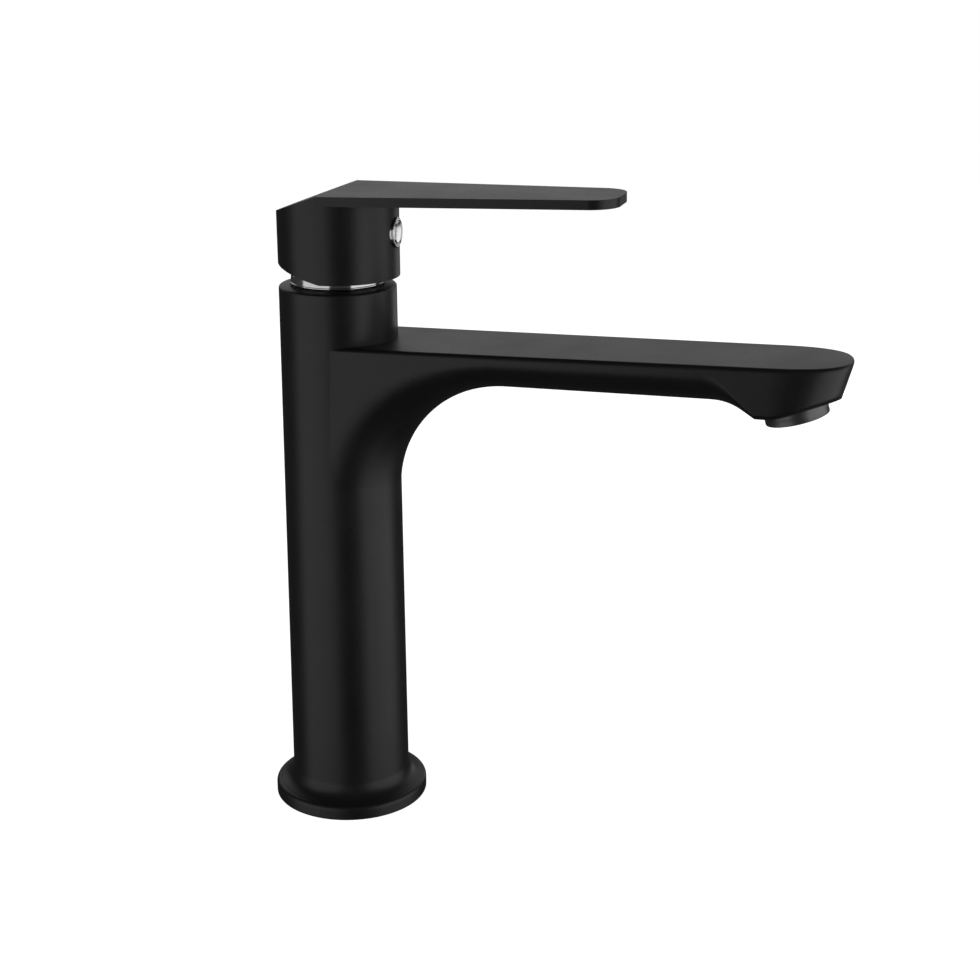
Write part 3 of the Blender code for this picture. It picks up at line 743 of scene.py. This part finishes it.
def aerator_screen():
    """Honeycomb outlet grid: a thin disc pierced by hexagonal cells, inside a plain rim."""
    low, high = SCREEN_Z
    shape = bmesh.new()
    step_x = SCREEN_CELL * math.sqrt(3)
    step_y = SCREEN_CELL * 1.5
    rows = int(SCREEN_R / step_y) + 1
    for row in range(-rows, rows + 1):
        for column in range(-8, 9):
            x = (column + 0.5 * (row % 2)) * step_x
            y = row * step_y
            if math.hypot(x, y) + SCREEN_CELL > SCREEN_R - 0.3:
                continue
            outer, inner = [], []
            for i in range(6):
                angle = math.radians(60 * i + 30)
                outer.append((x + SCREEN_CELL * math.cos(angle), y + SCREEN_CELL * math.sin(angle)))
                size = SCREEN_CELL - SCREEN_WALL
                inner.append((x + size * math.cos(angle), y + size * math.sin(angle)))
            for i in range(6):
                j = (i + 1) % 6
                corners = [outer[i], outer[j], inner[j], inner[i]]
                bottom = [shape.verts.new((u * MM, v * MM, low * MM)) for u, v in corners]
                top = [shape.verts.new((u * MM, v * MM, high * MM)) for u, v in corners]
                shape.faces.new(bottom[::-1])
                shape.faces.new(top)
                shape.faces.new((bottom[2], bottom[3], top[3], top[2]))
    bmesh.ops.remove_doubles(shape, verts=shape.verts, dist=1e-6)
    open_edges = [edge for edge in shape.edges if len(edge.link_faces) == 1]
    borders = [edge for edge in open_edges if abs(edge.verts[0].co.z - edge.verts[1].co.z) < 1e-7]
    lower = [edge for edge in borders if edge.verts[0].co.z < (low + high) / 2 * MM]
    wall_faces = bmesh.ops.extrude_edge_only(shape, edges=lower)
    moved = [item for item in wall_faces["geom"] if isinstance(item, bmesh.types.BMVert)]
    for vert in moved:
        vert.co.z = high * MM
    mesh = finished_mesh("aerator_grid", shape)
    rim = ring_mesh("aerator_grid_rim", SCREEN_R, SCREEN_R - SCREEN_RIM, low - 0.1, high + 0.1)
    plastic = moulded("grid_plastic", (0.05, 0.05, 0.05), (0.08, 0.08, 0.08))
    grid = new_piece("aerator_grid", in_head(mesh), plastic)
    edge = new_piece("aerator_grid_rim", in_head(rim), plastic)
    for piece in (grid, edge):
        shade(piece, 35)
        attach(piece, "faucet_body")
    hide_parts("aerator_screen")


# ---------------------------------------------------------------- pieces carried over

def finish_cad_pieces():
    brass = turned_metal("turned_brass", (0.56, 0.40, 0.16), (0.70, 0.52, 0.24))
    tube = turned_metal("drawn_tube", (0.55, 0.36, 0.18), (0.72, 0.50, 0.28), 0.28, 900)
    steel = turned_metal("turned_steel", (0.42, 0.42, 0.43), (0.58, 0.58, 0.59), 0.28)
    white = moulded("white_acetal", (0.66, 0.66, 0.63), (0.78, 0.78, 0.75))
    dark = moulded("dark_acetal", (0.05, 0.05, 0.055), (0.09, 0.09, 0.095))
    blue = moulded("blue_acetal", (0.10, 0.22, 0.48), (0.16, 0.30, 0.58))
    seal = rubber("seal_rubber")
    disc = ceramic("lapped_ceramic")
    seals = tuple(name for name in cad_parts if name.endswith("_seal"))
    looks = {
        brass: ("inlet_block", "retaining_nut"),
        tube: ("hot_riser", "cold_riser"),
        steel: ("handle_grub_screw", "stem", "stem_pin"),
        white: ("cartridge_shell", "cartridge_base", "turret", "aerator_insert"),
        dark: ("disc_driver",),
        blue: ("flow_regulator",),
        seal: seals + ("base_gasket", "aerator_washer"),
        disc: ("fixed_disc", "moving_disc"),
    }
    for look, names in looks.items():
        for name in names:
            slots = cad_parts[name].material_slots
            for index in range(len(slots)):
                slots[index].material = look


# ---------------------------------------------------------------- studio

def look_at(obj, target, roll=0.0):
    direction = (Vector(target) - obj.location).normalized()
    turn = direction.to_track_quat("-Z", "Y").to_matrix().to_4x4()
    obj.matrix_world = Matrix.Translation(obj.location) @ turn @ Matrix.Rotation(math.radians(roll), 4, "Z")


def polar(azimuth, elevation, distance):
    """Point round the aim, at an azimuth and elevation as the camera's are counted."""
    a, e = math.radians(azimuth), math.radians(elevation)
    back = Vector((math.sin(a) * math.cos(e), -math.cos(a) * math.cos(e), math.sin(e)))
    return (AIM + back * distance) * MM


def camera():
    data = bpy.data.cameras.new("camera")
    data.lens = LENS
    data.sensor_width = SENSOR
    data.clip_end = 20
    obj = bpy.data.objects.new("camera", data)
    bpy.context.scene.collection.objects.link(obj)
    obj.location = polar(VIEW_AZIMUTH, VIEW_ELEVATION, VIEW_DISTANCE)
    look_at(obj, AIM * MM, VIEW_ROLL)
    bpy.context.scene.camera = obj


def softbox(name, azimuth, elevation, distance, width, height, radiance):
    """Rectangular light aimed at the faucet, sized in degrees as seen from it."""
    data = bpy.data.lights.new(name, "AREA")
    data.shape = "RECTANGLE"
    data.size = 2 * distance * math.tan(math.radians(width / 2)) * MM
    data.size_y = 2 * distance * math.tan(math.radians(height / 2)) * MM
    data.energy = radiance * math.pi * data.size * data.size_y
    obj = bpy.data.objects.new(name, data)
    bpy.context.scene.collection.objects.link(obj)
    obj.location = polar(VIEW_AZIMUTH + azimuth, elevation, distance)
    look_at(obj, AIM * MM)
    obj.visible_camera = False


def studio():
    square = [(s * FLOOR_HALF, t * FLOOR_HALF) for s, t in ((-1, -1), (1, -1), (1, 1), (-1, 1))]
    floor = new_piece("floor", prism_mesh("floor", square, FLOOR_Z[0], FLOOR_Z[1]))
    n = Nodes("pale_floor")
    floor_tone = n.two_tones(n.noise(9, 3), (0.80, 0.80, 0.80), (0.84, 0.84, 0.84))
    n.set(Base_Color=floor_tone, Roughness=0.7, Specular_IOR_Level=0.1)
    n.set(Emission_Color=(1, 1, 1), Emission_Strength=FLOOR_GLOW)
    floor.data.materials.append(n.material)
    floor.visible_glossy = False
    floor.visible_diffuse = False
    for light in LIGHTS:
        softbox(*light)
    world = bpy.data.worlds.new("studio")
    bpy.context.scene.world = world
    world.use_nodes = True
    tree = world.node_tree
    background = tree.nodes["Background"]
    background.inputs["Color"].default_value = (1, 1, 1, 1)
    path = tree.nodes.new("ShaderNodeLightPath")
    strength = tree.nodes.new("ShaderNodeMapRange")
    strength.inputs["To Min"].default_value = ROOM_LIGHT
    strength.inputs["To Max"].default_value = 1.0
    tree.links.new(path.outputs["Is Camera Ray"], strength.inputs["Value"])
    tree.links.new(strength.outputs["Result"], background.inputs["Strength"])
    bpy.context.scene.view_settings.view_transform = "Standard"


body()
lever()
index_plug()
trim_collar()
aerator_housing()
aerator_screen()
finish_cad_pieces()
studio()
camera()
